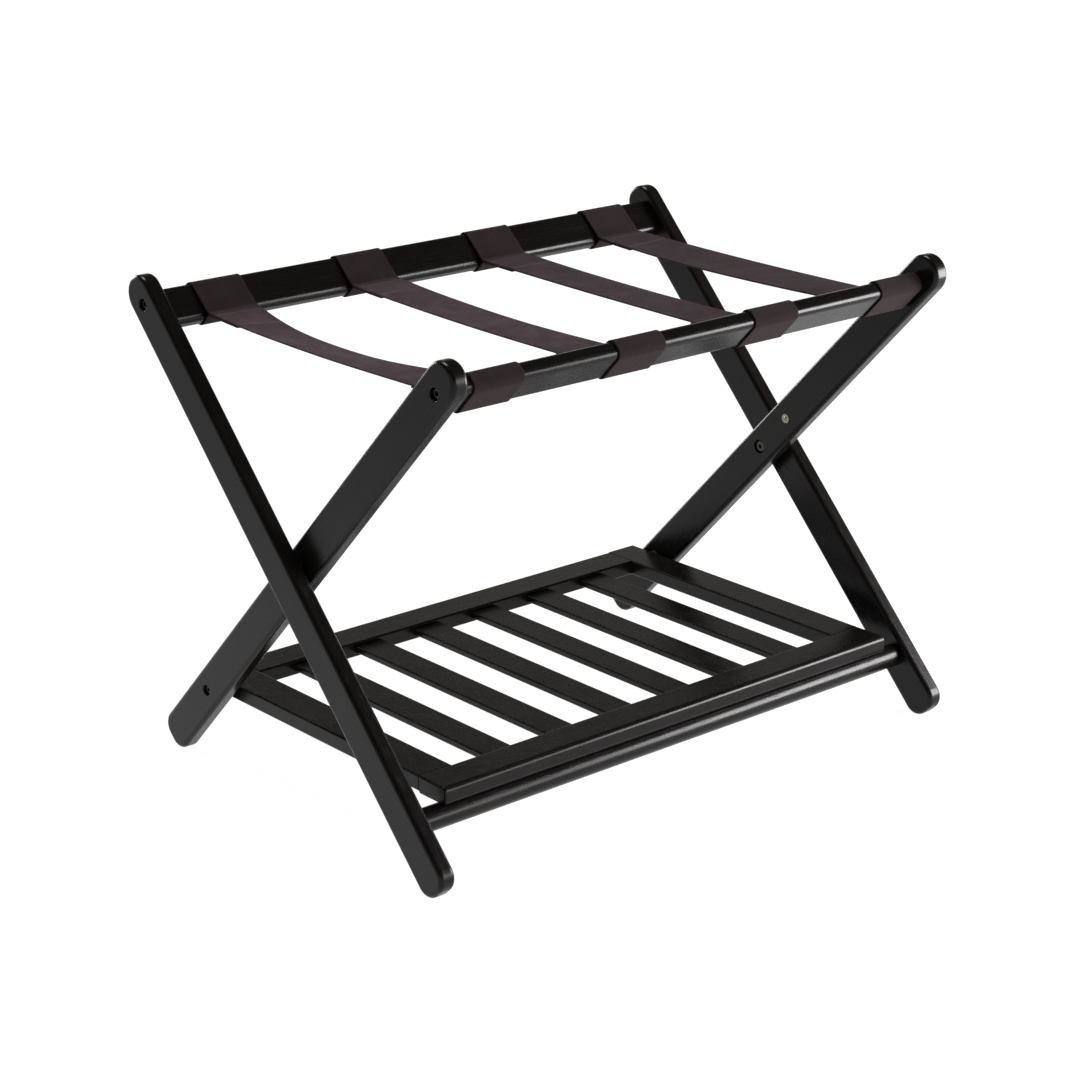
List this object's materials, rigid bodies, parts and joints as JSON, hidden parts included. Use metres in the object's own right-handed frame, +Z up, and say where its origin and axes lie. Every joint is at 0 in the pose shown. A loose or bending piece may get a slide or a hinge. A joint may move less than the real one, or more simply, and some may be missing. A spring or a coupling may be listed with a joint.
{
  "type": "folding luggage rack",
  "caption": "Folding wooden luggage rack on crossed legs, with webbing straps across the top rails and a slatted shelf near the floor.",
  "frame": {"origin": "on the floor, under the middle of the open rack", "axes": "+Z up, +X to the right along the rails, -Y towards the front, where the round foot rod and the shelf's front rail are"},
  "size_m": [0.68, 0.4804, 0.5009],
  "materials": {
    "dark_wood": "near-black espresso stain, satin",
    "plain_wood": "bare beech",
    "bright_metal": "nickel plated",
    "dark_metal": "black oxide, satin",
    "insert_brass": "plain",
    "washer_nylon": "black nylon",
    "webbing": "dark brown woven webbing"
  },
  "bodies": {
    "outer_frame": {"left_outer_leg": "dark_wood", "right_outer_leg": "dark_wood", "back_top_rail": "dark_wood", "front_foot_rod": "dark_wood", "back_rail_screws": "dark_metal", "back_rail_dowels": "plain_wood", "pivot_bolts": "dark_metal", "pivot_inserts": "insert_brass", "pivot_washers": "washer_nylon", "back_strap_loop_1": "webbing", "back_strap_loop_2": "webbing", "back_strap_loop_3": "webbing", "back_strap_loop_4": "webbing", "strap_span_1": "webbing", "strap_span_2": "webbing", "strap_span_3": "webbing", "strap_span_4": "webbing"},
    "inner_frame": {"left_inner_leg": "dark_wood", "right_inner_leg": "dark_wood", "front_top_rail": "dark_wood", "front_rail_screws": "dark_metal", "front_rail_dowels": "plain_wood", "shelf_catch_studs": "bright_metal", "front_strap_loop_1": "webbing", "front_strap_loop_2": "webbing", "front_strap_loop_3": "webbing", "front_strap_loop_4": "webbing"},
    "shelf": {"shelf_front_rail": "dark_wood", "shelf_back_rail": "dark_wood", "shelf_left_rail": "dark_wood", "shelf_right_rail": "dark_wood", "shelf_slat_1": "dark_wood", "shelf_slat_2": "dark_wood", "shelf_slat_3": "dark_wood", "shelf_slat_4": "dark_wood", "shelf_slat_5": "dark_wood", "shelf_slat_6": "dark_wood", "shelf_corner_dowels": "plain_wood", "shelf_pivot_screws": "dark_metal", "shelf_pivot_washers": "washer_nylon"}
  },
  "joints": [
    {"name": "fold", "type": "hinge", "parent": "outer_frame", "child": "inner_frame", "pos_m": [0, 0, 0.25129], "axis": [-1, 0, 0], "range_deg": [0, 80], "deforming": ["strap_span_1", "strap_span_2", "strap_span_3", "strap_span_4"]},
    {"name": "shelf_lift", "type": "hinge", "parent": "inner_frame", "child": "shelf", "pos_m": [0, 0.16242, 0.08062], "axis": [-1, 0, 0], "range_deg": [0, 46]}
  ]
}
